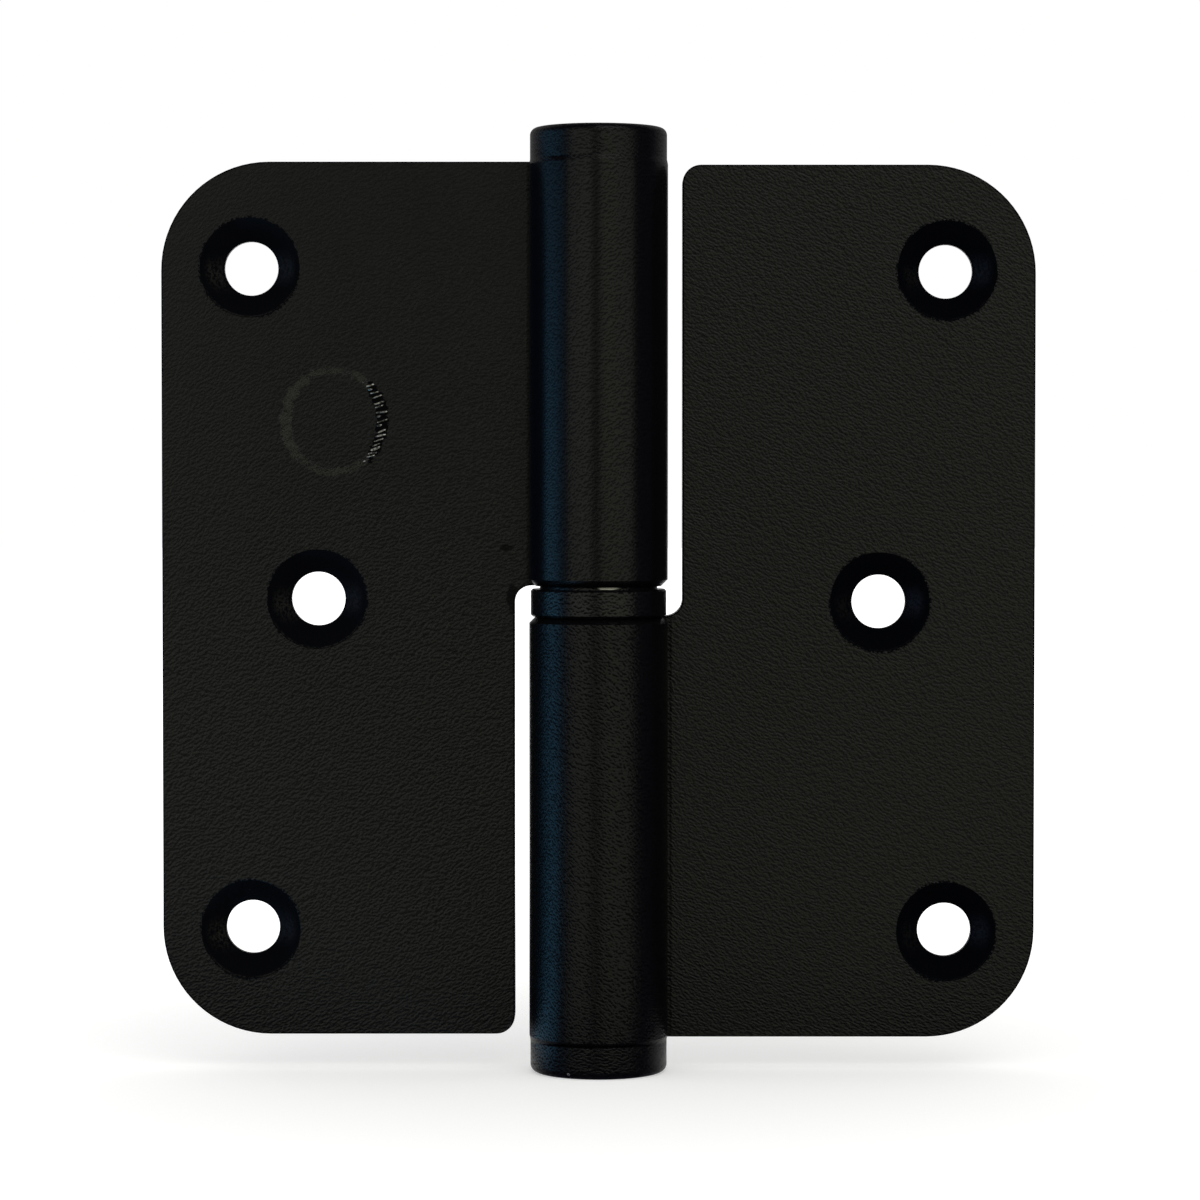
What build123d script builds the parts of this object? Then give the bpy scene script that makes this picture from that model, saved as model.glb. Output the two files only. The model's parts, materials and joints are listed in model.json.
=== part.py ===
"""Lift-off paumelle hinge: two rolled sheet-steel leaves, a fixed pin, a thrust ring and two end caps.

The pin runs along Z through the origin. The leaves lie open and flat either side of it, countersunk
faces towards -Y. The left leaf carries the upper knuckle and lifts off the pin; the right leaf carries
the lower knuckle and holds the pin. Both leaves are the same pressing, the lower one turned end for end.
"""
import math
import os

from build123d import *

# Driving dimensions, in millimetres and degrees

# Leaves
leaf_height = 89.0
open_width = 89.0
sheet_thickness = 3.0
closed_gap = 2.0
outer_corner_radius = 11.0
free_corner_radius = 1.9
notch_corner_radius = 1.7
notch_clearance = 1.5
edge_break = 0.15

# Rolled knuckles
pin_diameter = 8.0
running_clearance = 0.05
roll_seam = 0.15
root_radius = 3.0
knuckle_foot_break = 0.65
knuckle_top_break = 0.4

# Screw holes
screw_hole_diameter = 5.5
countersink_diameter = 10.15
countersink_angle = 90.0
end_hole_inset = 9.0
end_hole_from_tip = 10.75
middle_hole_inset = 15.8

# Thrust ring between the knuckles, with a bevelled collar that the upper knuckle rubs on
ring_height = 2.8
ring_step = 0.15
ring_clearance = 0.15
ring_edge_break = 0.2
collar_height = 0.3
collar_foot_diameter = 12.0
collar_top_diameter = 11.9

# End caps
cap_height = 3.3
cap_step = 0.1
cap_edge_radius = 0.75
cap_seat_break = 0.1
spigot_length = 6.0
spigot_chamfer = 0.5

# Pin
pin_end_gap = 3.0
pin_foot_gap = 0.5
pin_nose_chamfer = 1.0
pin_step_chamfer = 0.5

# How near a plane an edge must lie to be picked
same_plane = 0.001

# Sizes that follow from the driving dimensions

bore_radius = pin_diameter / 2 + running_clearance
barrel_radius = bore_radius + sheet_thickness
front_y = closed_gap / 2
back_y = front_y + sheet_thickness
outer_edge_x = -open_width / 2
notch_x = -(barrel_radius + notch_clearance)
knuckle_foot_z = (ring_height + collar_height) / 2
knuckle_length = (leaf_height - ring_height) / 2
leaf_top_z = knuckle_foot_z + knuckle_length
leaf_bottom_z = leaf_top_z - leaf_height
pin_foot_z = -leaf_top_z + spigot_length + pin_foot_gap
pin_tip_z = leaf_top_z - spigot_length - pin_end_gap
end_for_end = Rot(0, 180, 0)
standing = (Align.CENTER, Align.CENTER, Align.MIN)


def edges_at(shape, axis, *positions):
    """Edges of a shape that lie flat in any of the given planes across an axis."""
    found = ShapeList()
    for position in positions:
        found += shape.edges().filter_by_position(axis, position - same_plane, position + same_plane)
    return found


def upright(radius, low_z, high_z):
    """Solid round bar on the pin's axis between two heights."""
    bar = Cylinder(radius, high_z - low_z, align=standing)
    return Pos(0, 0, low_z) * bar


def leaf_plate():
    """Flat leaf with its notch; beside the knuckle it runs on to the pin's axis."""
    corners = [
        (outer_edge_x, leaf_top_z),
        (0, leaf_top_z),
        (0, knuckle_foot_z),
        (notch_x, knuckle_foot_z),
        (notch_x, leaf_bottom_z),
        (outer_edge_x, leaf_bottom_z),
    ]
    radii = [outer_corner_radius, 0, 0, notch_corner_radius, free_corner_radius, outer_corner_radius]
    outline = make_face(FilletPolyline(*corners, radius=radii, close=True))
    plate = extrude(Plane.XZ.offset(-back_y) * outline, amount=sheet_thickness)
    return chamfer(edges_at(plate, Axis.Y, front_y, back_y), edge_break)


def knuckle_root():
    """Concave bend behind the leaf, tangent to the leaf's back face and to the knuckle."""
    centre_y = back_y + root_radius
    centre_x = -math.sqrt((barrel_radius + root_radius) ** 2 - centre_y**2)
    share = barrel_radius / (barrel_radius + root_radius)
    on_leaf = (centre_x, back_y)
    on_knuckle = (centre_x * share, centre_y * share)
    inside = (on_knuckle[0], back_y - sheet_thickness / 2)
    bend = RadiusArc(on_leaf, on_knuckle, -root_radius)
    section = make_face([bend, Line(on_knuckle, inside), Line(inside, on_leaf)])
    web_length = knuckle_length - knuckle_foot_break - knuckle_top_break
    return extrude(Pos(0, 0, knuckle_foot_z + knuckle_foot_break) * section, amount=web_length)


def screw_hole(hole_x, hole_z):
    """Cutter for one screw hole, countersunk from the front face."""
    hole_radius = screw_hole_diameter / 2
    mouth_radius = countersink_diameter / 2
    sink_depth = (mouth_radius - hole_radius) / math.tan(math.radians(countersink_angle / 2))
    section = Polyline(
        (0, 0),
        (mouth_radius, 0),
        (hole_radius, sink_depth),
        (hole_radius, sheet_thickness),
        (0, sheet_thickness),
        close=True,
    )
    cutter = revolve(Plane.XY * make_face(section), Axis.Y)
    return Pos(hole_x, front_y, hole_z) * cutter


def upper_leaf():
    """Leaf and upper knuckle, cut and rolled from one sheet, with the roll's seam against the leaf."""
    barrel = upright(barrel_radius, knuckle_foot_z, leaf_top_z)
    barrel = chamfer(edges_at(barrel, Axis.Z, knuckle_foot_z), knuckle_foot_break)
    barrel = chamfer(edges_at(barrel, Axis.Z, leaf_top_z), knuckle_top_break)
    leaf = leaf_plate() + barrel + knuckle_root()
    leaf -= upright(bore_radius, knuckle_foot_z, leaf_top_z)
    seam = Box(barrel_radius, roll_seam, knuckle_length, align=(Align.MAX, Align.MAX, Align.MIN))
    leaf -= Pos(0, front_y, knuckle_foot_z) * seam
    end_hole_x = outer_edge_x + end_hole_inset
    leaf -= screw_hole(end_hole_x, leaf_top_z - end_hole_from_tip)
    leaf -= screw_hole(end_hole_x, leaf_bottom_z + end_hole_from_tip)
    leaf -= screw_hole(outer_edge_x + middle_hole_inset, (leaf_top_z + leaf_bottom_z) / 2)
    return leaf


def thrust_ring():
    """Washer on the pin between the knuckles; the upper knuckle rides on its collar alone."""
    ring_foot_z = -knuckle_foot_z
    ring_top_z = ring_foot_z + ring_height
    ring = upright(barrel_radius - ring_step, ring_foot_z, ring_top_z)
    ring = chamfer(edges_at(ring, Axis.Z, ring_foot_z, ring_top_z), ring_edge_break)
    collar = Cone(collar_foot_diameter / 2, collar_top_diameter / 2, collar_height, align=standing)
    ring += Pos(0, 0, ring_top_z) * collar
    return ring - upright(pin_diameter / 2 + ring_clearance, ring_foot_z, knuckle_foot_z)


def top_cap():
    """Button that closes the upper knuckle, on a spigot pressed into its bore."""
    cap_top_z = leaf_top_z + cap_height
    spigot_foot_z = leaf_top_z - spigot_length
    head = upright(barrel_radius - cap_step, leaf_top_z, cap_top_z)
    head = fillet(edges_at(head, Axis.Z, cap_top_z), cap_edge_radius)
    head = chamfer(edges_at(head, Axis.Z, leaf_top_z), cap_seat_break)
    spigot = upright(bore_radius, spigot_foot_z, leaf_top_z)
    spigot = chamfer(edges_at(spigot, Axis.Z, spigot_foot_z), spigot_chamfer)
    return head + spigot


def hinge_pin():
    """Turned pin: its foot is pressed into the lower knuckle, its chamfered upper part runs free."""
    shoulder_z = -knuckle_foot_z
    foot = upright(bore_radius, pin_foot_z, shoulder_z)
    foot = chamfer(edges_at(foot, Axis.Z, pin_foot_z), pin_step_chamfer)
    journal = upright(pin_diameter / 2, shoulder_z, pin_tip_z)
    journal = chamfer(edges_at(journal, Axis.Z, pin_tip_z), pin_nose_chamfer)
    return foot + journal


def main():
    """Writes one STEP file for each piece."""
    leaf = upper_leaf()
    cap = top_cap()
    pieces = {
        "upper_leaf": leaf,
        "lower_leaf": end_for_end * leaf,
        "thrust_ring": thrust_ring(),
        "hinge_pin": hinge_pin(),
        "top_cap": cap,
        "bottom_cap": end_for_end * cap,
    }
    os.makedirs("parts", exist_ok=True)
    for name, piece in pieces.items():
        export_step(piece, f"parts/{name}.step")


main()
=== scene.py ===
"""Looks of a lift-off paumelle hinge: grained black coat, its wear, the bare pin, the studio and the camera.

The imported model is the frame. Units are metres: +X to the right of the view, +Y away from the camera and
+Z up along the pin. The leaves' countersunk faces look towards -Y.
"""
import json
import logging
import math
from dataclasses import dataclass
from enum import Enum
from typing import Any, Union

import bpy
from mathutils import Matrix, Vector


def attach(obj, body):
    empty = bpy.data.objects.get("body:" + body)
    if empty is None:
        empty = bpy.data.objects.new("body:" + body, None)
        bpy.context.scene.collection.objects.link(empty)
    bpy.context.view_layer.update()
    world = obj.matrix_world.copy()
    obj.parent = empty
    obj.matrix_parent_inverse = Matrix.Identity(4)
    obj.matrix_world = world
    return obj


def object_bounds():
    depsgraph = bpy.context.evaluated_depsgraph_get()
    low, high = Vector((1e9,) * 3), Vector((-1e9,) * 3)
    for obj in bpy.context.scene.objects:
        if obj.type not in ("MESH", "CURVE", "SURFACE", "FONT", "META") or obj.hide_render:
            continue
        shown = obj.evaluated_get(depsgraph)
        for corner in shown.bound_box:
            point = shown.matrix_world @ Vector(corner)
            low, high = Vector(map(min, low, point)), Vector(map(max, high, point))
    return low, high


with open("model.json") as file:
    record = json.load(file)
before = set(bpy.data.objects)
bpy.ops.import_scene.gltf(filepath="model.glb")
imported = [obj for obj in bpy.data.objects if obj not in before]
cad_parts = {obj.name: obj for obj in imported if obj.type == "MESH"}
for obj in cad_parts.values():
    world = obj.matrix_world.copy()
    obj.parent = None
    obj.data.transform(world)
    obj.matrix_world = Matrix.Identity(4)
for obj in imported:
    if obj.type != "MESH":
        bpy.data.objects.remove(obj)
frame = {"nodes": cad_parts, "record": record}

CAD_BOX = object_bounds()
MM = 0.001
PHOTO_WIDTH = 1200
SENSOR_WIDTH = 36.0

WHITE = (1.0, 1.0, 1.0, 1.0)
SEED_STEP = 17.0

Colour = tuple[float, float, float]
Point = tuple[float, float, float]
Number = Union["Field", float]

logging.basicConfig(level=logging.INFO, format="%(message)s")
log = logging.getLogger("hinge")


class Slot(Enum):
    """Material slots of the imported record."""

    COAT = "black_coat"
    STEEL = "bare_steel"


class Ray(Enum):
    """Kinds of ray, by the socket of Light Path that tells them apart."""

    CAMERA = "Is Camera Ray"
    GLOSSY = "Is Glossy Ray"
    TRANSMISSION = "Is Transmission Ray"


class Field:
    """A socket that carries a number, on which Python's operators add Math nodes."""

    def __init__(self, board: "Board", socket: bpy.types.NodeSocket) -> None:
        """Wraps a socket of a board's tree.

        Args:
            board: the node tree's builder.
            socket: the output socket that carries the number.
        """
        self.board = board
        self.socket = socket

    def __add__(self, other: Number) -> "Field":
        """Sum."""
        return self.board.math("ADD", self, other)

    def __radd__(self, other: Number) -> "Field":
        """Sum with a plain number on the left."""
        return self.board.math("ADD", other, self)

    def __sub__(self, other: Number) -> "Field":
        """Difference."""
        return self.board.math("SUBTRACT", self, other)

    def __rsub__(self, other: Number) -> "Field":
        """Difference from a plain number."""
        return self.board.math("SUBTRACT", other, self)

    def __mul__(self, other: Number) -> "Field":
        """Product."""
        return self.board.math("MULTIPLY", self, other)

    def __rmul__(self, other: Number) -> "Field":
        """Product with a plain number on the left."""
        return self.board.math("MULTIPLY", other, self)

    def __truediv__(self, other: Number) -> "Field":
        """Quotient."""
        return self.board.math("DIVIDE", self, other)

    def __or__(self, other: Number) -> "Field":
        """The larger of the two, so that masks join."""
        return self.board.math("MAXIMUM", self, other)

    def __abs__(self) -> "Field":
        """Size without sign."""
        return self.board.math("ABSOLUTE", self)

    def root(self) -> "Field":
        """Square root."""
        return self.board.math("SQRT", self)

    def sine(self) -> "Field":
        """Sine of an angle in radians."""
        return self.board.math("SINE", self)

    def cosine(self) -> "Field":
        """Cosine of an angle in radians."""
        return self.board.math("COSINE", self)

    def ease(self, low: float, high: float) -> "Field":
        """Smooth step.

        Args:
            low: value that becomes 0.
            high: value that becomes 1; below low, the step falls instead of rising.

        Returns:
            A number from 0 to 1.
        """
        ends = {"From Min": low, "From Max": high, "To Min": 0.0, "To Max": 1.0}
        if low > high:
            ends = {"From Min": high, "From Max": low, "To Min": 1.0, "To Max": 0.0}
        step = self.board.node(
            "ShaderNodeMapRange", {"interpolation_type": "SMOOTHSTEP"}, {"Value": self, **ends}
        )
        return Field(self.board, step.outputs["Result"])


class Board:
    """Builder of one node tree."""

    def __init__(self, tree: bpy.types.NodeTree) -> None:
        """Starts on an empty tree.

        Args:
            tree: the shader or geometry tree, whose nodes are cleared.
        """
        self.tree = tree
        tree.nodes.clear()

    def node(
        self,
        kind: str,
        settings: dict[str, Any] | None = None,
        inputs: dict[str | int, Any] | None = None,
    ) -> bpy.types.Node:
        """Adds a node.

        Args:
            kind: the node's type.
            settings: attributes, set before the sockets.
            inputs: values, sockets or fields, by the socket's name or index.

        Returns:
            The node.
        """
        made = self.tree.nodes.new(kind)
        for name, value in (settings or {}).items():
            setattr(made, name, value)
        for key, value in (inputs or {}).items():
            self.feed(made.inputs[key], value)
        return made

    def feed(self, socket: bpy.types.NodeSocket, value: Any) -> None:
        """Links or sets an input socket.

        Args:
            socket: the input socket.
            value: a field, an output socket or a plain value.
        """
        if isinstance(value, Field):
            value = value.socket
        if isinstance(value, bpy.types.NodeSocket):
            self.tree.links.new(value, socket)
        else:
            socket.default_value = value

    def math(self, operation: str, *values: Number) -> Field:
        """Adds a Math node.

        Args:
            operation: the node's operation.
            values: its operands.

        Returns:
            The result.
        """
        made = self.node("ShaderNodeMath", {"operation": operation}, dict(enumerate(values)))
        return Field(self, made.outputs["Value"])

    def vector(self, operation: str, *values: Any) -> bpy.types.Node:
        """Adds a Vector Math node.

        Args:
            operation: the node's operation.
            values: its operands.

        Returns:
            The node.
        """
        return self.node("ShaderNodeVectorMath", {"operation": operation}, dict(enumerate(values)))

    def axes(self, vector: bpy.types.NodeSocket) -> tuple[Field, Field, Field]:
        """Splits a vector.

        Args:
            vector: the socket that carries it.

        Returns:
            Its X, Y and Z.
        """
        split = self.node("ShaderNodeSeparateXYZ", inputs={"Vector": vector})
        return tuple(Field(self, socket) for socket in split.outputs)

    def noise(self, vector: bpy.types.NodeSocket, pitch: float, detail: float, warp: float = 0.0) -> Field:
        """Adds a noise.

        Args:
            vector: where it is read.
            pitch: size of its lumps.
            detail: octaves beyond the first.
            warp: how far it is drawn out of shape.

        Returns:
            A number about 0.5.
        """
        sockets = {"Vector": vector, "Scale": 1 / pitch, "Detail": detail, "Distortion": warp}
        made = self.node("ShaderNodeTexNoise", inputs=sockets)
        return Field(self, made.outputs["Fac"])

    def blend(self, share: Number, first: Any, second: Any) -> bpy.types.NodeSocket:
        """Mixes two colours.

        Args:
            share: how much of the second colour shows.
            first: a colour or its socket.
            second: a colour or its socket.

        Returns:
            The mixed colour's socket.
        """
        mix = self.node("ShaderNodeMix", {"data_type": "RGBA"})
        sockets = {socket.identifier: socket for socket in mix.inputs}
        self.feed(sockets["Factor_Float"], share)
        self.feed(sockets["A_Color"], first)
        self.feed(sockets["B_Color"], second)
        return next(socket for socket in mix.outputs if socket.identifier == "Result_Color")

    def principled(self, inputs: dict[str, Any]) -> bpy.types.NodeSocket:
        """Adds a Principled shader.

        Args:
            inputs: values, sockets or fields, by the socket's name.

        Returns:
            The shader's socket.
        """
        return self.node("ShaderNodeBsdfPrincipled", inputs=inputs).outputs["BSDF"]

    def mix_shaders(self, share: Number, first: Any, second: Any) -> bpy.types.NodeSocket:
        """Mixes two shaders.

        Args:
            share: how much of the second shader shows.
            first: a shader's socket.
            second: a shader's socket.

        Returns:
            The mixed shader's socket.
        """
        mix = self.node("ShaderNodeMixShader", inputs={0: share, 1: first, 2: second})
        return mix.outputs["Shader"]

    def chance(self, seed: Any, channel: int) -> Field:
        """Adds a random number for each point of a geometry.

        Args:
            seed: the socket or number that seeds it.
            channel: which of several independent numbers it is.

        Returns:
            A number from 0 to 1.
        """
        salt = self.math("ADD", Field(self, seed), channel * SEED_STEP)
        made = self.node("FunctionNodeRandomValue", {"data_type": "FLOAT"})
        sockets = {socket.identifier: socket for socket in made.inputs}
        self.feed(sockets["Seed"], salt)
        return Field(self, next(socket for socket in made.outputs if socket.enabled))


def with_alpha(colour: Colour) -> tuple[float, float, float, float]:
    """A colour as the four numbers that a colour socket holds."""
    return (*colour, 1.0)


def new_board(name: str) -> tuple[bpy.types.Material, Board]:
    """Makes an empty material.

    Args:
        name: the material's name.

    Returns:
        The material and the builder of its nodes.
    """
    material = bpy.data.materials.new(name)
    material.use_nodes = True
    return material, Board(material.node_tree)


def dress(node: str, finish: "Finish") -> None:
    """Gives a CAD node its finish.

    Args:
        node: the node's name.
        finish: the finish.
    """
    piece = frame["nodes"][node]
    piece.data.materials.clear()
    piece.data.materials.append(finish.make())
    log.info("dressed %s with %s", node, finish.name)


@dataclass(frozen=True)
class Spot:
    """A soft or ragged mark on a surface, at a point in the hinge's frame."""

    centre: Point
    radius: float
    squeeze: Point = (1.0, 1.0, 1.0)
    core: float = 0.7
    ragged: float = 1.0

    def mask(self, board: Board, position: bpy.types.NodeSocket) -> Field:
        """Where the mark is.

        Args:
            board: the finish's node tree.
            position: the surface point.

        Returns:
            1 in the mark's core, 0 outside its ragged edge.
        """
        offset = board.vector("SUBTRACT", position, self.centre).outputs["Vector"]
        squeezed = board.vector("MULTIPLY", offset, self.squeeze).outputs["Vector"]
        away = Field(board, board.vector("LENGTH", squeezed).outputs["Value"])
        wander = (board.noise(position, self.radius, 1.0) - 0.5) * (self.radius * self.ragged)
        return (away + wander).ease(self.radius, self.radius * self.core)


@dataclass(frozen=True)
class Countersinks:
    """Screw holes of a leaf, cut through the grain, with thin smooth coat on their cones."""

    centres: tuple[Point, ...]
    mouth_radius: float = 5.05 * MM
    rim: float = 0.06 * MM
    tear: float = 0.24 * MM
    tear_pitch: float = 0.26 * MM
    tear_levels: tuple[float, float] = (0.62, 0.36)
    patch_pitch: float = 3.0 * MM
    patch_levels: tuple[float, float] = (0.32, 0.6)
    hole_radius: float = 2.75 * MM
    hole_edge: float = 0.3 * MM
    wall_top: float = 0.2 * MM
    wall_fade: float = 1.1 * MM
    side_fade: float = 0.4 * MM
    leaf_back: tuple[float, float] = (3.95 * MM, 3.75 * MM)
    wall_band_height: float = 2.3 * MM
    left_band_drop: float = 0.6 * MM
    lip_inset: float = 0.1 * MM
    lip_width: float = 0.12 * MM
    lip_levels: tuple[float, float] = (-1.5 * MM, -4.0 * MM)
    streak_pitch: float = 0.3 * MM
    streak_levels: tuple[float, float] = (0.38, 0.6)
    right_least: float = 0.4

    def masks(self, board: Board, position: bpy.types.NodeSocket) -> tuple[Field, Field, Field]:
        """Where the cones are, where their left walls and lower lips turn paler, and where a painted sheen
        lies on their right walls.

        Args:
            board: the coat's node tree.
            position: the surface point.

        Returns:
            The cones and holes with their torn rims but not the leaf's back, the paler left walls and lower
            lips, and the right walls, which carry a painted sheen.
        """
        x, y, z = board.axes(position)
        patchy = board.noise(position, self.patch_pitch, 0.0).ease(*self.patch_levels)
        torn = board.noise(position, self.tear_pitch, 1.0).ease(*self.tear_levels) * patchy * self.tear
        cones = board.math("MULTIPLY", patchy, 0.0)
        left = cones
        right = cones
        for centre in self.centres:
            across = x - centre[0]
            up = z - centre[2]
            away = (across * across + up * up).root()
            mouth = self.mouth_radius + torn
            cones = cones | (away - mouth).ease(self.rim, -self.rim)
            wall = away.ease(self.hole_radius, self.hole_radius + self.hole_edge)
            wall = wall * (self.mouth_radius - away).ease(self.wall_top, self.wall_fade)
            low_band = abs(up + self.left_band_drop).ease(self.wall_band_height, 0.0)
            left = left | wall * across.ease(0.0, -self.side_fade) * low_band
            level_band = abs(up).ease(self.wall_band_height, 0.0)
            right = right | wall * across.ease(0.0, self.side_fade) * level_band
            lip = abs(away - (self.mouth_radius - self.lip_inset)).ease(self.lip_width, 0.0)
            left = left | lip * up.ease(*self.lip_levels)
        streaks = board.noise(position, self.streak_pitch, 2.0).ease(*self.streak_levels)
        inside = y.ease(*self.leaf_back)
        # the right walls' band carries a painted bluish sheen
        right_sheen = self.right_least + (1 - self.right_least) * streaks
        return cones * inside, left * streaks, right * right_sheen


@dataclass(frozen=True)
class Scuff:
    """Plain ring-shaped scuff on a leaf: rubbed pale on one side, scraped to bare steel on the other."""

    centre: tuple[float, float] = (-26.95 * MM, 18.3 * MM)
    outer_radius: float = 5.6 * MM
    inner_radius: float = 4.75 * MM
    inner_narrowing: float = 1.1
    colour: Colour = (0.0182, 0.019, 0.0132)
    edge_pitch: float = 0.4 * MM
    edge_wander: float = 0.22
    outer_fade: tuple[float, float] = (1.03, 0.96)
    inner_fade: tuple[float, float] = (0.97, 1.04)
    leaf_face: float = 1.0 * MM
    face_depth: tuple[float, float] = (0.4 * MM, 0.2 * MM)
    left_side: tuple[float, float] = (-2.4 * MM, -4.0 * MM)
    scraped_side: tuple[float, float] = (3.3 * MM, 3.6 * MM)
    speckle_pitch: float = 0.11 * MM
    speckle: float = 2.0
    blotch_pitch: float = 0.8 * MM
    blotch: float = 0.9
    rub: float = 0.42
    left_rub: float = 0.1
    rub_levels: tuple[float, float] = (0.25, 0.8)
    bed_levels: tuple[float, float] = (0.3, 0.7)
    scrape_count: int = 19
    scrape_spread: float = 49.0
    scrape_lean: float = 15.0
    scrape_width: float = 0.25 * MM
    scrape_height: float = 0.06 * MM
    scrape_sink: float = 0.01 * MM
    scrape_jitter: float = 0.5
    scrape_grain: float = 0.06 * MM
    run_least: float = 0.4
    run_spread: float = 0.55
    run_levels: tuple[float, float] = (0.15, 0.5)
    run_overlap: float = 1.1
    rise_share: float = 0.97
    lean_least: float = 0.4
    lean_spread: float = 1.2
    width_least: float = 0.7
    width_spread: float = 0.6
    burr_sides: int = 10
    burr_foot: float = 0.5
    burr_top: float = 0.26
    seed: int = 5

    def masks(self, board: Board, position: bpy.types.NodeSocket) -> tuple[Field, Field]:
        """Where the coat is rubbed, and where it is scraped through.

        Args:
            board: the coat's node tree.
            position: the surface point.

        Returns:
            The pale rubbing and the dark bed of the scrapes, each from 0 to 1.
        """
        x, y, z = board.axes(position)
        across = x - self.centre[0]
        up = z - self.centre[1]
        wander = (board.noise(position, self.edge_pitch, 3.0) - 0.5) * self.edge_wander
        outside = (across * across + up * up).root() / self.outer_radius + wander
        narrowed = across * self.inner_narrowing
        within = (narrowed * narrowed + up * up).root() / self.inner_radius + wander
        front = (y - self.leaf_face).ease(*self.face_depth)
        band = outside.ease(*self.outer_fade) * within.ease(*self.inner_fade) * front
        left = across.ease(*self.left_side)
        right = across.ease(*self.scraped_side)
        speckle = board.noise(position, self.speckle_pitch, 0.0) - 0.5
        blotch = board.noise(position, self.blotch_pitch, 1.0) - 0.5
        worn = band * (self.rub + self.left_rub * left) + speckle * self.speckle + blotch * self.blotch
        rubbed = worn.ease(*self.rub_levels) * band * (1 - right)
        return rubbed, band.ease(*self.bed_levels) * right

    def scrape_tree(self) -> bpy.types.NodeTree:
        """Builds the Geometry Nodes tree that lays burrs side by side along an arc.

        Returns:
            The tree, with named inputs.
        """
        tree = bpy.data.node_groups.new("scrapes", "GeometryNodeTree")
        sockets = {
            "Count": "NodeSocketInt",
            "Centre": "NodeSocketVector",
            "Inner": "NodeSocketFloat",
            "Outer": "NodeSocketFloat",
            "Spread": "NodeSocketFloat",
            "Lean": "NodeSocketFloat",
            "Width": "NodeSocketFloat",
            "Height": "NodeSocketFloat",
            "Seed": "NodeSocketInt",
            "Material": "NodeSocketMaterial",
        }
        for name, kind in sockets.items():
            tree.interface.new_socket(name, in_out="INPUT", socket_type=kind)
        tree.interface.new_socket("Geometry", in_out="OUTPUT", socket_type="NodeSocketGeometry")
        board = Board(tree)
        given = board.node("NodeGroupInput").outputs
        count = given["Count"]
        index = Field(board, board.node("GeometryNodeInputIndex").outputs["Index"])
        chance = [board.chance(given["Seed"], share) for share in range(4)]
        step = (index + chance[0] * self.scrape_jitter) / (Field(board, count) - self.scrape_jitter) * 2 - 1
        angle = step * Field(board, given["Spread"])
        inner = Field(board, given["Inner"])
        outer = Field(board, given["Outer"])
        reach = self.run_least + self.run_spread * chance[1].ease(*self.run_levels)
        run = (outer * angle.cosine() - inner * angle.cosine()) * reach
        lean = Field(board, given["Lean"]) * (self.lean_least + self.lean_spread * chance[2])
        side = inner * angle.cosine() + run * 0.5
        rise = outer * angle.sine() * self.rise_share
        place = board.node("ShaderNodeCombineXYZ", inputs={"X": side, "Z": rise}).outputs["Vector"]
        points = board.node("GeometryNodeMeshLine", inputs={"Count": count})
        spread = board.node(
            "GeometryNodeSetPosition",
            inputs={
                "Geometry": points.outputs["Mesh"],
                "Position": board.vector("ADD", place, given["Centre"]).outputs["Vector"],
            },
        )
        burr = board.node(
            "GeometryNodeMeshCone",
            inputs={
                "Vertices": self.burr_sides,
                "Radius Top": self.burr_top,
                "Radius Bottom": self.burr_foot,
                "Depth": 1.0,
            },
        )
        turn = board.node("ShaderNodeCombineXYZ", inputs={"X": math.pi / 2, "Y": 0.0 - lean})
        stretch = board.node(
            "ShaderNodeCombineXYZ",
            inputs={
                "X": run * self.run_overlap,
                "Y": Field(board, given["Width"]) * (self.width_least + self.width_spread * chance[3]),
                "Z": given["Height"],
            },
        )
        laid = board.node(
            "GeometryNodeInstanceOnPoints",
            inputs={
                "Points": spread.outputs["Geometry"],
                "Instance": burr.outputs["Mesh"],
                "Rotation": turn.outputs["Vector"],
                "Scale": stretch.outputs["Vector"],
            },
        )
        solid = board.node("GeometryNodeRealizeInstances", inputs={"Geometry": laid.outputs["Instances"]})
        skinned = board.node(
            "GeometryNodeSetMaterial",
            inputs={"Geometry": solid.outputs["Geometry"], "Material": given["Material"]},
        )
        board.node("NodeGroupOutput", inputs={"Geometry": skinned.outputs["Geometry"]})
        return tree

    def build_scrapes(self, name: str) -> bpy.types.Object:
        """Makes the burrs of bare steel that stand in the scraped side.

        Args:
            name: the piece's name.

        Returns:
            The burrs as one plain mesh.
        """
        values = {
            "Count": self.scrape_count,
            "Centre": (self.centre[0], self.leaf_face + self.scrape_sink, self.centre[1]),
            "Inner": self.inner_radius / self.inner_narrowing,
            "Outer": self.outer_radius,
            "Spread": math.radians(self.scrape_spread),
            "Lean": math.radians(self.scrape_lean),
            "Width": self.scrape_width,
            "Height": self.scrape_height,
            "Seed": self.seed,
            "Material": ScrapedSteel("scraped_steel", ring_pitch=self.scrape_grain).make(),
        }
        return grow(name, self.scrape_tree(), values)


def grow(name: str, tree: bpy.types.NodeTree, values: dict[str, Any]) -> bpy.types.Object:
    """Runs a Geometry Nodes tree and keeps its result as a plain mesh.

    Args:
        name: the piece's name.
        tree: the tree, which needs no input geometry.
        values: its inputs by name.

    Returns:
        The piece, at the origin, with no modifier.
    """
    holder = bpy.data.objects.new(f"{name}_holder", bpy.data.meshes.new(f"{name}_empty"))
    bpy.context.scene.collection.objects.link(holder)
    modifier = holder.modifiers.new("grow", "NODES")
    modifier.node_group = tree
    for item in tree.interface.items_tree:
        if item.in_out == "INPUT":
            modifier[item.identifier] = values[item.name]
    graph = bpy.context.evaluated_depsgraph_get()
    mesh = bpy.data.meshes.new_from_object(holder.evaluated_get(graph), depsgraph=graph)
    mesh.name = name
    bpy.data.objects.remove(holder)
    piece = bpy.data.objects.new(name, mesh)
    bpy.context.scene.collection.objects.link(piece)
    log.info("grew %s: %d faces", name, len(mesh.polygons))
    return piece


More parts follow.
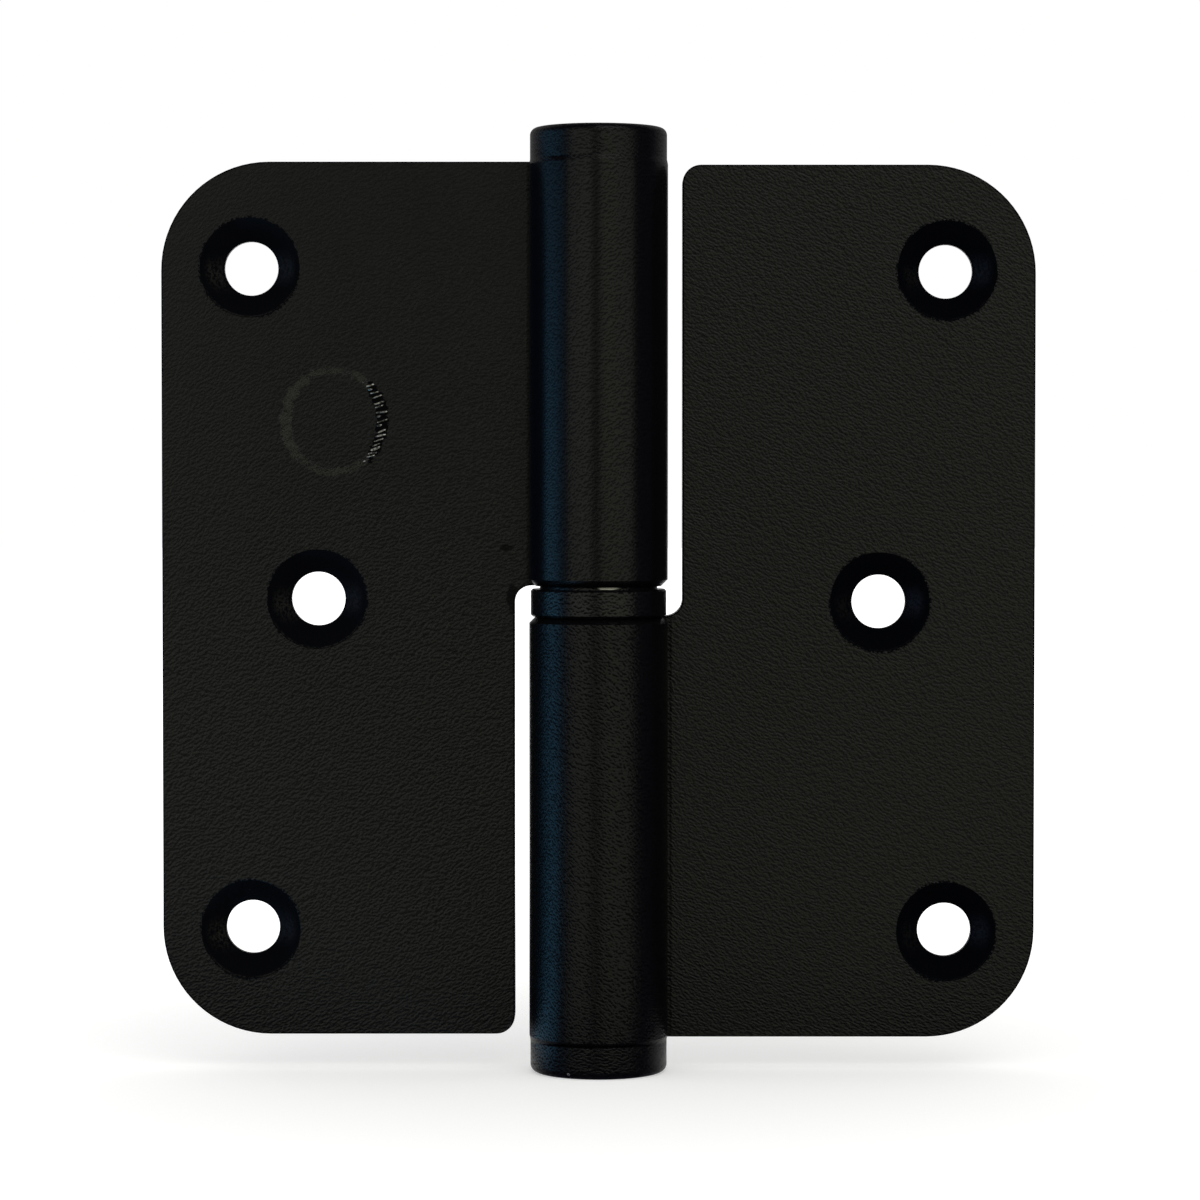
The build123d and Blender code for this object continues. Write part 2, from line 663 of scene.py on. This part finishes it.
@dataclass(frozen=True)
class Finish:
    """What a surface is finished with."""

    name: str

    def skin(self, board: Board, position: bpy.types.NodeSocket) -> bpy.types.NodeSocket:
        """Builds the finish's shader.

        Args:
            board: the material's node tree.
            position: the surface point in the hinge's frame.

        Returns:
            The shader's socket.
        """
        raise NotImplementedError

    def make(self) -> bpy.types.Material:
        """Builds the material."""
        material, board = new_board(self.name)
        position = board.node("ShaderNodeTexCoord").outputs["Object"]
        board.node("ShaderNodeOutputMaterial", inputs={"Surface": self.skin(board, position)})
        return material


@dataclass(frozen=True)
class BarrelGrain:
    """How the coat's grain shows round the barrel; pit_levels and pit_darkness set the painted shade in its
    hollows.
    """

    smoothing: float
    pit_levels: tuple[float, float]
    pit_darkness: float


FINE_GRAIN = BarrelGrain(smoothing=0.5, pit_levels=(0.5, 0.42), pit_darkness=0.66)
STRONG_GRAIN = BarrelGrain(smoothing=0.42, pit_levels=(0.5, 0.39), pit_darkness=0.92)


@dataclass(frozen=True)
class Coat(Finish):
    """Fine-grained black powder coat, smoother round the barrel than on the flat."""

    lean_deg: float = 0.0
    sinks: Countersinks | None = None
    scuff: Scuff | None = None
    chips: tuple[Spot, ...] = ()
    smudges_and_shade: tuple[Spot, ...] = ()
    shades: tuple[Spot, ...] = ()
    calm: Spot | None = None
    pale_wall_share: float = 0.0
    colour: Colour = (0.0012, 0.0012, 0.0016)
    # painted light and shade of the grain: lighter ridges, and the pit shader's colour in the hollows
    lit_ridge_colour: Colour = (0.0076, 0.0075, 0.0068)
    flat_roughness: float = 0.24
    barrel_roughness: float = 0.22
    barrel_reach: float = 7.3 * MM
    barrel_fade: float = 0.3 * MM
    barrel_grain: BarrelGrain = FINE_GRAIN
    edge_levels: tuple[float, float] = (0.97, 0.85)
    specular: float = 0.30
    grain_pitch: float = 0.19 * MM
    grain_stretch: float = 2.2
    grain_depth: float = 0.08 * MM
    grain_step: float = 0.9
    grain_contrast: float = 0.7
    grain_warp: float = 0.3
    calming: float = 0.7
    ridge_levels: tuple[float, float] = (0.42, 0.62)
    ridge_middle: float = 0.42
    pit_levels: tuple[float, float] = (0.56, 0.36)
    pit_middle: float = 0.4
    pit_darkness: float = 0.46
    mottle_pitch: float = 7 * MM
    mottle: float = 0.1
    chip_colour: Colour = (0.75, 0.74, 0.7)
    # painted shade of the grain's hollows, broken edges and the notch corner
    pit_shade_colour: Colour = (0.0009, 0.0009, 0.0013)
    pit_specular: float = 0.04
    pool_colour: Colour = (0.0015, 0.0016, 0.0023)
    shade_colour: Colour = (0.0014, 0.0018, 0.0038)
    pale_wall_colour: Colour = (0.0118, 0.0116, 0.0102)
    # painted bluish sheen on the cones' right walls
    painted_sheen_colour: Colour = (0.0056, 0.0068, 0.0098)
    pool_roughness: float = 0.22
    pool_specular: float = 0.02
    pool_smoothing: float = 0.7
    smudge_and_shade_darkness: float = 0.75
    rub_roughness: float = 0.25

    def grain(self, board: Board, position: bpy.types.NodeSocket) -> Field:
        """Height of the coat's wrinkles, which lean to one side."""
        turned = board.node(
            "ShaderNodeMapping",
            {"vector_type": "TEXTURE"},
            {
                "Vector": position,
                "Rotation": (0.0, math.radians(self.lean_deg), 0.0),
                "Scale": (self.grain_stretch, 1.0, 1.0),
            },
        ).outputs["Vector"]
        step = (0.0, 0.0, self.grain_pitch * self.grain_step)
        beside = board.vector("ADD", turned, step).outputs["Vector"]
        here = board.noise(turned, self.grain_pitch, 1.0, self.grain_warp)
        there = board.noise(beside, self.grain_pitch, 1.0, self.grain_warp)
        return 0.5 + (here - there) * self.grain_contrast

    def edges(self, board: Board) -> Field:
        """Broken edges, told by the way they face: the leaves' faces look along Y. The coat paints shade on
        them.

        Args:
            board: the material's node tree.

        Returns:
            1 on edges and 0 on the leaves' flat faces.
        """
        normal = board.node("ShaderNodeTexCoord").outputs["Normal"]
        return abs(board.axes(normal)[1]).ease(*self.edge_levels)

    def skin(self, board: Board, position: bpy.types.NodeSocket) -> bpy.types.NodeSocket:
        """Builds the coat's shader."""
        x, y, _ = board.axes(position)
        barrel = (x * x + y * y).root().ease(self.barrel_reach + self.barrel_fade, self.barrel_reach)
        flat = 1 - barrel
        mottle = board.noise(position, self.mottle_pitch, 2.0)
        rough = self.flat_roughness + barrel * (self.barrel_roughness - self.flat_roughness)
        rough = rough + (mottle - 0.5) * self.mottle
        grain = self.grain(board, position)
        relief = board.math("ADD", 1.0, 0.0)
        if self.calm is not None:
            relief = 1 - self.calm.mask(board, position) * self.calming
        # Painted light and shade of the grain's relief: lighter base colour on its ridges and the dark pit
        # shader in its hollows; calm weakens both where it lies.
        lit_ridges = self.ridge_middle + (grain.ease(*self.ridge_levels) - self.ridge_middle) * relief
        tone = board.blend(lit_ridges * flat, with_alpha(self.colour), with_alpha(self.lit_ridge_colour))
        flat_pits = self.pit_middle + (grain.ease(*self.pit_levels) - self.pit_middle) * relief
        barrel_pits = grain.ease(*self.barrel_grain.pit_levels) * self.barrel_grain.pit_darkness
        shade_and_smudge = flat_pits * self.pit_darkness * flat + barrel_pits * barrel
        # painted shade along the leaves' broken edges
        shade_and_smudge = shade_and_smudge | self.edges(board) * flat
        pooled_and_shaded = board.math("MULTIPLY", barrel, 0.0)
        pool_and_painted_tone: Any = with_alpha(self.pool_colour)
        if self.sinks is not None:
            cones, left, right = self.sinks.masks(board, position)
            pooled_and_shaded = pooled_and_shaded | cones
            # Paler tone on the cones' left walls and lower lips.
            pool_and_painted_tone = board.blend(left * self.pale_wall_share, pool_and_painted_tone, with_alpha(self.pale_wall_colour))
            # Painted sheen: a bluish reflection of the window, painted on the cones' right walls.
            pool_and_painted_tone = board.blend(right, pool_and_painted_tone, with_alpha(self.painted_sheen_colour))
        # Shades are painted shade: navy, nearly unreflecting coat over the barrel's corner by the leaf and
        # over the bright ends of the slits by the ring.
        for spot in self.shades:
            shaded = spot.mask(board, position)
            pooled_and_shaded = pooled_and_shaded | shaded
            pool_and_painted_tone = board.blend(shaded, pool_and_painted_tone, with_alpha(self.shade_colour))
        # Smudges darken the coat with the pit shader; the notch corner's spot among them is painted shade.
        for spot in self.smudges_and_shade:
            shade_and_smudge = shade_and_smudge | spot.mask(board, position) * self.smudge_and_shade_darkness
        if self.scuff is not None:
            rubbed, bed = self.scuff.masks(board, position)
            rough = rough + rubbed * self.rub_roughness
            tone = board.blend(rubbed, tone, with_alpha(self.scuff.colour))
            shade_and_smudge = shade_and_smudge * (1 - rubbed) | bed
        metal: Number = 0.0
        for chip in self.chips:
            metal = chip.mask(board, position) | metal
            tone = board.blend(metal, tone, with_alpha(self.chip_colour))
        smoothed = (1 - pooled_and_shaded * self.pool_smoothing) * (1 - barrel * self.barrel_grain.smoothing)
        height = grain * smoothed * relief
        bump = board.node("ShaderNodeBump", inputs={"Distance": self.grain_depth, "Height": height})
        grained = board.principled(
            {
                "Base Color": tone,
                "Roughness": rough,
                "Metallic": metal,
                "Specular IOR Level": self.specular,
                "Normal": bump.outputs["Normal"],
            }
        )
        # The dark pit shader: painted shade in the grain's hollows, on broken edges and at the notch corner;
        # it also darkens smudges and the scuff's scraped bed.
        shaded_coat = board.principled(
            {
                "Base Color": with_alpha(self.pit_shade_colour),
                "Roughness": self.flat_roughness,
                "Specular IOR Level": self.pit_specular,
                "Normal": bump.outputs["Normal"],
            }
        )
        smooth = board.principled(
            {
                "Base Color": pool_and_painted_tone,
                "Roughness": self.pool_roughness,
                "Specular IOR Level": self.pool_specular,
                "Normal": bump.outputs["Normal"],
            }
        )
        return board.mix_shaders(pooled_and_shaded, board.mix_shaders(shade_and_smudge, grained, shaded_coat), smooth)


@dataclass(frozen=True)
class TurnedSteel(Finish):
    """Bright steel with the fine rings that turning leaves."""

    colour: Colour = (0.62, 0.61, 0.59)
    stained: Colour = (0.5, 0.49, 0.46)
    ring_pitch: float = 0.12 * MM
    ring_depth: float = 0.002 * MM
    ring_squeeze: float = 0.05
    stain_pitch: float = 3 * MM
    roughness: float = 0.22
    groove_roughness: float = 0.12

    def skin(self, board: Board, position: bpy.types.NodeSocket) -> bpy.types.NodeSocket:
        """Builds the steel's shader."""
        rings = board.node(
            "ShaderNodeMapping",
            inputs={"Vector": position, "Scale": (self.ring_squeeze, self.ring_squeeze, 1.0)},
        ).outputs["Vector"]
        groove = board.noise(rings, self.ring_pitch, 2.0)
        stain = board.noise(position, self.stain_pitch, 3.0)
        bump = board.node("ShaderNodeBump", inputs={"Distance": self.ring_depth, "Height": groove})
        return board.principled(
            {
                "Base Color": board.blend(stain, with_alpha(self.colour), with_alpha(self.stained)),
                "Roughness": self.roughness + groove * self.groove_roughness,
                "Metallic": 1.0,
                "Normal": bump.outputs["Normal"],
            }
        )


@dataclass(frozen=True)
class ScrapedSteel(TurnedSteel):
    """Steel bared by scraping, with flecks of coat left on it."""

    coat_colour: Colour = (0.004, 0.004, 0.004)
    coat_roughness: float = 0.4
    fleck_pitch: float = 0.28 * MM
    fleck_levels: tuple[float, float] = (0.4, 0.62)

    def skin(self, board: Board, position: bpy.types.NodeSocket) -> bpy.types.NodeSocket:
        """Builds the shader: steel between flecks of coat."""
        bare = board.noise(position, self.fleck_pitch, 2.0).ease(*self.fleck_levels)
        left = board.principled(
            {"Base Color": with_alpha(self.coat_colour), "Roughness": self.coat_roughness}
        )
        return board.mix_shaders(bare, left, super().skin(board, position))


@dataclass(frozen=True)
class RingFinish(Finish):
    """Coat on the thrust ring, rubbed off the collar that carries the upper knuckle."""

    coat: Coat
    steel: TurnedSteel
    worn: Spot

    def skin(self, board: Board, position: bpy.types.NodeSocket) -> bpy.types.NodeSocket:
        """Builds the shader: coat all over, bare steel in the worn place."""
        bare = self.worn.mask(board, position)
        return board.mix_shaders(bare, self.coat.skin(board, position), self.steel.skin(board, position))


@dataclass
class HingeLeaf:
    """One leaf with its knuckle, dressed in grained coat."""

    node: str
    lean_deg: float
    lit_ridge_colour: Colour
    pool_colour: Colour
    painted_sheen_colour: Colour
    pale_wall_share: float
    grain_depth: float
    barrel_grain: BarrelGrain
    scuff: Scuff | None = None
    smudges_and_shade: tuple[Spot, ...] = ()
    shades: tuple[Spot, ...] = ()
    calm: Spot | None = None

    def screw_centres(self) -> tuple[Point, ...]:
        """Places of the leaf's screw holes, from the record's mounts.

        Returns:
            One point on each hole's axis.
        """
        found: list[Point] = []
        for mount in frame["record"]["mounts"]:
            if not mount["name"].startswith(self.node):
                continue
            x, y, z = mount["pos_m"]
            if mount["kind"] == "bore":
                found.append((x, y, z))
            elif mount["kind"] == "bolt_pattern":
                half = mount["dims"]["spacing_y_mm"] * MM / 2
                found += [(x, y, z - half), (x, y, z + half)]
        return tuple(found)

    def build(self) -> None:
        """Dresses the leaf and lays the scuff's burrs on it."""
        sinks = Countersinks(self.screw_centres())
        coat = Coat(
            f"coat_{self.node}",
            lean_deg=self.lean_deg,
            lit_ridge_colour=self.lit_ridge_colour,
            pool_colour=self.pool_colour,
            painted_sheen_colour=self.painted_sheen_colour,
            sinks=sinks,
            scuff=self.scuff,
            smudges_and_shade=self.smudges_and_shade,
            shades=self.shades,
            calm=self.calm,
            pale_wall_share=self.pale_wall_share,
            grain_depth=self.grain_depth,
            barrel_grain=self.barrel_grain,
        )
        dress(self.node, coat)
        if self.scuff is not None:
            burrs = self.scuff.build_scrapes(f"{self.node}_scrapes")
            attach(burrs, self.node)


@dataclass(frozen=True)
class SeamFill:
    """Coat that bridges the groove between a knuckle and its cap, and sinks into it over one stretch.

    The three corners of its section are given as radius and height, for the upper end.
    """

    name: str
    body: str
    end: float
    sunk_deg: tuple[float, float]
    fade_deg: float
    sunk_share: float
    knuckle_edge: tuple[float, float] = (7.044 * MM, 44.24 * MM)
    cap_edge: tuple[float, float] = (6.948 * MM, 44.77 * MM)
    root: tuple[float, float] = (6.72 * MM, 44.62 * MM)
    sides: int = 3
    steps: int = 360

    def section(self, azimuth_deg: float) -> tuple[tuple[float, float], ...]:
        """Corners of the bead's section at a bearing, 0 being the camera's side.

        Args:
            azimuth_deg: the bearing, from -180 to 180.

        Returns:
            Radius and height of each corner.
        """
        inside = min(azimuth_deg - self.sunk_deg[0], self.sunk_deg[1] - azimuth_deg)
        share = self.sunk_share * min(max(inside / self.fade_deg, 0.0), 1.0)
        radius = self.cap_edge[0] + (self.root[0] - self.cap_edge[0]) * share
        height = self.cap_edge[1] + (self.root[1] - self.cap_edge[1]) * share
        return self.knuckle_edge, (radius, height), self.root

    def build(self) -> None:
        """Makes the bead as a closed ring and fixes it to the knuckle's body."""
        corners: list[Point] = []
        faces: list[tuple[int, ...]] = []
        for step in range(self.steps):
            turn_deg = 360.0 * step / self.steps - 180.0
            turn = math.radians(turn_deg)
            for radius, height in self.section(self.end * turn_deg):
                side = radius * math.sin(turn)
                corners.append((self.end * side, -radius * math.cos(turn), self.end * height))
            here = step * self.sides
            there = (step + 1) % self.steps * self.sides
            for corner in range(self.sides):
                after = (corner + 1) % self.sides
                faces.append((here + corner, there + corner, there + after, here + after))
        mesh = bpy.data.meshes.new(self.name)
        mesh.from_pydata(corners, [], faces)
        mesh.materials.append(Coat(f"coat_{self.name}").make())
        bead = bpy.data.objects.new(self.name, mesh)
        bpy.context.scene.collection.objects.link(bead)
        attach(bead, self.body)
        log.info("filled %s: %d faces", self.name, len(faces))


@dataclass
class BarrelFittings:
    """Ring and end caps, coated, and the bare pin inside the barrel."""

    cap_nick: Spot = Spot((-3.0 * MM, -6.2 * MM, -47.45 * MM), 0.17 * MM)
    collar_rub: Spot = Spot((1.1 * MM, -5.93 * MM, 1.45 * MM), 1.1 * MM, (1.0, 1.0, 6.0))
    ring_specular: float = 0.42
    low_cap_specular: float = 0.33
    low_cap_grain: float = 0.12 * MM
    seams: tuple[SeamFill, ...] = (
        SeamFill(
            "top_seam", "upper_leaf", end=1.0, sunk_deg=(-46.0, -24.0), fade_deg=6.0, sunk_share=0.35
        ),
        SeamFill(
            "bottom_seam", "lower_leaf", end=-1.0, sunk_deg=(-62.0, 58.0), fade_deg=28.0, sunk_share=0.95
        ),
    )

    def build(self) -> None:
        """Dresses the fittings and fills the seams of the caps."""
        steel = TurnedSteel("turned_steel")
        dress("top_cap", Coat("coat_top_cap"))
        low_cap = Coat(
            "coat_bottom_cap",
            chips=(self.cap_nick,),
            specular=self.low_cap_specular,
            grain_depth=self.low_cap_grain,
            barrel_grain=STRONG_GRAIN,
        )
        dress("bottom_cap", low_cap)
        ring_coat = Coat("coat_ring_body", specular=self.ring_specular, barrel_grain=STRONG_GRAIN)
        dress("thrust_ring", RingFinish("coat_ring", ring_coat, steel, self.collar_rub))
        dress("hinge_pin", steel)
        for seam in self.seams:
            seam.build()


@dataclass(frozen=True)
class Softbox:
    """A flat soft lamp that faces the hinge."""

    name: str
    azimuth_deg: float
    elevation_deg: float
    distance: float
    width: float
    height: float
    radiance: float
    tint: Colour = (1.0, 1.0, 1.0)
    floor_share: float = 0.9
    floor_reach: tuple[float, float] = (0.018, 0.04)
    floor_turn_deg: float = 0.0

    def build(self) -> None:
        """Hangs the lamp: azimuth 0 is the camera's side and runs to the right."""
        turn = math.radians(self.azimuth_deg)
        rise = math.radians(self.elevation_deg)
        level = math.cos(rise)
        away = Vector((math.sin(turn) * level, -math.cos(turn) * level, math.sin(rise)))
        lamp = bpy.data.lights.new(self.name, "AREA")
        lamp.shape = "RECTANGLE"
        lamp.size = self.width
        lamp.size_y = self.height
        lamp.color = self.tint
        lamp.energy = self.radiance * math.pi * self.width * self.height
        hung = bpy.data.objects.new(self.name, lamp)
        hung.location = away * self.distance
        hung.rotation_euler = away.to_track_quat("Z", "Y").to_euler()
        hung.visible_camera = False
        bpy.context.scene.collection.objects.link(hung)
        log.info("hung lamp %s", self.name)

    def on_floor(self, azimuth: Field, away: Field, soft: float) -> Field:
        """Where the lamp's own reflection would stretch over a shiny floor.

        Args:
            azimuth: the floor point's bearing from the hinge, in radians.
            away: the floor point's distance from the hinge.
            soft: half the width of its soft edges, in radians.

        Returns:
            1 in the lamp's sector, 0 outside.
        """
        middle = math.radians(self.azimuth_deg + self.floor_turn_deg)
        half = math.atan2(self.width / 2, self.distance)
        left = azimuth.ease(middle - half - soft, middle - half + soft)
        right = azimuth.ease(middle + half + soft, middle + half - soft)
        return left * right * away.ease(*self.floor_reach)


@dataclass
class Studio:
    """Pale floor, white surroundings, soft lamps and the camera."""

    floor_size: float = 6.0
    floor_colour: Colour = (0.8, 0.8, 0.8)
    near_glow: float = 0.37
    far_glow: float = 0.85
    shadow_reach: tuple[float, float] = (0.05, 0.22)
    room: Colour = (0.78, 0.775, 0.76)
    mirrored_side: Colour = (0.048, 0.045, 0.068)
    mirrored_front: Colour = (0.17, 0.17, 0.15)
    mirrored_floor: Colour = (0.06, 0.06, 0.054)
    mirrored_back: Colour = (0.2, 0.2, 0.2)
    mirrored_cap: Colour = (0.5, 0.5, 0.48)
    near_reach: tuple[float, float] = (0.018, 0.04)
    near_half_deg: tuple[float, float] = (20.0, 12.0)
    skim: tuple[float, float] = (0.35, 0.6)
    sector_soft_deg: float = 4.0
    cap_reach: tuple[float, float] = (0.03, 0.02)
    cap_depth: tuple[float, float] = (-0.006, 0.002)
    behind_deg: tuple[float, float] = (160.0, 172.0)
    behind_reach: tuple[float, float] = (0.0, 0.25)
    front_facing: tuple[float, float] = (-0.75, -0.95)
    back_facing: tuple[float, float] = (0.2, 0.6)
    white_facing: tuple[float, float] = (0.985, 1.0)
    camera_distance: float = 400 * MM
    camera_rise: float = 12.5 * MM
    aim: tuple[float, float] = (0.15 * MM, 0.1 * MM)
    pixels_per_mm: float = 9.81
    leaf_face: float = 1.0 * MM
    clip_start: float = 10 * MM
    overhead: Softbox = Softbox(
        "overhead",
        azimuth_deg=24,
        elevation_deg=46,
        distance=0.75,
        width=0.5,
        height=0.4,
        radiance=0.95,
        tint=(1.0, 0.98, 0.95),
    )
    low_lamps: tuple[Softbox, ...] = (
        Softbox(
            "front_right",
            azimuth_deg=31,
            elevation_deg=8,
            distance=0.6,
            width=0.66,
            height=0.6,
            radiance=0.45,
            tint=(0.97, 1.0, 0.78),
        ),
        Softbox(
            "front_left",
            azimuth_deg=-31,
            elevation_deg=8,
            distance=0.6,
            width=0.45,
            height=0.6,
            radiance=0.45,
            tint=(0.97, 1.0, 0.86),
        ),
        Softbox(
            "window_left",
            azimuth_deg=-84,
            elevation_deg=0,
            distance=0.6,
            width=0.58,
            height=0.6,
            radiance=0.62,
            tint=(0.13, 0.4, 0.66),
            floor_share=3.3,
            floor_reach=(0.01, 0.016),
            floor_turn_deg=-12,
        ),
    )

    def seen(self, board: Board, *kinds: Ray) -> Field:
        """Whether a ray is one of some kinds.

        Args:
            board: the node tree that asks.
            kinds: the kinds of ray.

        Returns:
            1 for those rays and 0 for others.
        """
        path = board.node("ShaderNodeLightPath")
        found = Field(board, path.outputs[kinds[0].value])
        for kind in kinds[1:]:
            found = found | Field(board, path.outputs[kind.value])
        return found

    def floor_mirror(self, board: Board, position: bpy.types.NodeSocket) -> bpy.types.NodeSocket:
        """What shiny surfaces see of the floor: the lamps' reflections in it, and the shade close by.

        Args:
            board: the floor's node tree.
            position: the floor point.

        Returns:
            The colour's socket.
        """
        x, y, _ = board.axes(position)
        azimuth = board.math("ARCTAN2", x, 0.0 - y)
        away = (x * x + y * y).root()
        ahead = abs(azimuth).ease(*map(math.radians, self.near_half_deg)) * away.ease(*self.near_reach)
        colour = board.blend(ahead, with_alpha(self.mirrored_side), with_alpha(self.mirrored_floor))
        path = board.node("ShaderNodeLightPath")
        skimming = (Field(board, path.outputs["Ray Length"]) / away).ease(*self.skim)
        for lamp in self.low_lamps:
            lit = tuple(lamp.radiance * lamp.floor_share * part for part in lamp.tint)
            sector = lamp.on_floor(azimuth, away, math.radians(self.sector_soft_deg)) * skimming
            colour = board.blend(sector, colour, with_alpha(lit))
        beside_cap = away.ease(*self.cap_reach) * y.ease(*self.cap_depth)
        colour = board.blend(beside_cap, colour, with_alpha(self.mirrored_cap))
        behind = abs(azimuth).ease(*map(math.radians, self.behind_deg)) * y.ease(*self.behind_reach)
        return board.blend(behind, colour, WHITE)

    def build_floor(self) -> None:
        """Lays the floor under the bottom cap; it shows white and keeps the shadow."""
        half = self.floor_size / 2
        level = CAD_BOX[0].z
        corners = [(-half, -half, level), (half, -half, level), (half, half, level), (-half, half, level)]
        mesh = bpy.data.meshes.new("floor")
        mesh.from_pydata(corners, [], [(0, 1, 2, 3)])
        floor = bpy.data.objects.new("floor", mesh)
        bpy.context.scene.collection.objects.link(floor)
        material, board = new_board("pale_floor")
        position = board.node("ShaderNodeTexCoord").outputs["Object"]
        away = Field(board, board.vector("LENGTH", position).outputs["Value"])
        glow = self.near_glow + away.ease(*self.shadow_reach) * (self.far_glow - self.near_glow)
        plain = board.node("ShaderNodeBsdfDiffuse", inputs={"Color": with_alpha(self.floor_colour)})
        white = board.node(
            "ShaderNodeEmission", inputs={"Strength": glow * self.seen(board, Ray.CAMERA, Ray.TRANSMISSION)}
        )
        lit = board.node("ShaderNodeAddShader", inputs={0: plain.outputs[0], 1: white.outputs[0]})
        shown = board.node("ShaderNodeEmission", inputs={"Color": self.floor_mirror(board, position)})
        both = board.mix_shaders(self.seen(board, Ray.GLOSSY), lit.outputs[0], shown.outputs[0])
        board.node("ShaderNodeOutputMaterial", inputs={"Surface": both})
        mesh.materials.append(material)

    def build_room(self) -> None:
        """Makes the surroundings: white to the camera, white behind the hinge in reflections, else dim."""
        world = bpy.data.worlds.new("studio")
        world.use_nodes = True
        bpy.context.scene.world = world
        board = Board(world.node_tree)
        direction = board.node("ShaderNodeTexCoord").outputs["Generated"]
        depth = board.axes(direction)[1]
        ahead = depth.ease(*self.front_facing)
        mirrored = board.blend(ahead, with_alpha(self.mirrored_side), with_alpha(self.mirrored_front))
        mirrored = board.blend(depth.ease(*self.back_facing), mirrored, with_alpha(self.mirrored_back))
        mirrored = board.blend(depth.ease(*self.white_facing), mirrored, WHITE)
        colour = board.blend(self.seen(board, Ray.GLOSSY), with_alpha(self.room), mirrored)
        colour = board.blend(self.seen(board, Ray.CAMERA, Ray.TRANSMISSION), colour, WHITE)
        light = board.node("ShaderNodeBackground", inputs={"Color": colour})
        board.node("ShaderNodeOutputWorld", inputs={"Surface": light.outputs[0]})

    def build_camera(self) -> None:
        """Sets the camera at the photograph's place."""
        lens = bpy.data.cameras.new("camera")
        face_distance = self.camera_distance + self.leaf_face
        lens.sensor_width = SENSOR_WIDTH
        lens.lens = self.pixels_per_mm / MM * face_distance * SENSOR_WIDTH / PHOTO_WIDTH
        lens.clip_start = self.clip_start
        camera = bpy.data.objects.new("camera", lens)
        camera.location = (0.0, -self.camera_distance, self.camera_rise)
        target = Vector((self.aim[0], 0.0, self.aim[1]))
        camera.rotation_euler = (target - camera.location).to_track_quat("-Z", "Y").to_euler()
        bpy.context.scene.collection.objects.link(camera)
        bpy.context.scene.camera = camera

    def build(self) -> None:
        """Builds the studio."""
        self.build_floor()
        self.build_room()
        for lamp in (self.overhead, *self.low_lamps):
            lamp.build()
        self.build_camera()
        bpy.context.scene.view_settings.view_transform = "Standard"


def main() -> None:
    """Dresses the hinge and builds the studio around it."""
    smudge = Spot((-9.4 * MM, 1.0 * MM, 5.4 * MM), 0.6 * MM, (0.7, 1.0, 1.6))
    # Painted shade along the left leaf's notch corner.
    notch_shade = Spot((-8.7 * MM, 1.0 * MM, 0.2 * MM), 0.7 * MM, (1.0, 1.0, 0.4))
    calm = Spot((-25.0 * MM, 1.0 * MM, 46.0 * MM), 70.0 * MM, (0.1, 1.0, 1.0), core=0.0, ragged=0.0)
    # Painted shade over the bright reflections at the ends of the slits beside the ring.
    upper_foot = Spot((-6.9 * MM, -0.9 * MM, 1.9 * MM), 0.9 * MM)
    lower_head = Spot((6.9 * MM, -0.9 * MM, -1.9 * MM), 0.9 * MM)
    # Painted shade on the upper barrel where it meets the leaf.
    corner_shade = Spot(
        (-7.4 * MM, -2.8 * MM, 23.0 * MM), 3.0 * MM, (1.0, 1.0, 0.05), core=0.35, ragged=0.25
    )
    # The two leaves wear one coat; their different ridge, cone and sheen tones make lighter and darker
    # copies of it: painted light and shade.
    upper_leaf = HingeLeaf(
        "upper_leaf",
        lean_deg=-24.0,
        lit_ridge_colour=(0.0086, 0.0084, 0.0078),
        pool_colour=(0.0021, 0.0023, 0.0033),
        painted_sheen_colour=(0.0074, 0.0091, 0.0132),
        pale_wall_share=1.0,
        grain_depth=0.08 * MM,
        barrel_grain=FINE_GRAIN,
        scuff=Scuff(),
        smudges_and_shade=(smudge, notch_shade),
        shades=(corner_shade, upper_foot),
        calm=calm,
    )
    lower_leaf = HingeLeaf(
        "lower_leaf",
        lean_deg=24.0,
        lit_ridge_colour=(0.0043, 0.0042, 0.0035),
        pool_colour=(0.0013, 0.0015, 0.0024),
        painted_sheen_colour=(0.0056, 0.0072, 0.0118),
        pale_wall_share=0.3,
        grain_depth=0.1 * MM,
        barrel_grain=STRONG_GRAIN,
        shades=(lower_head,),
    )
    upper_leaf.build()
    lower_leaf.build()
    BarrelFittings().build()
    Studio().build()


if __name__ == "__main__":
    main()
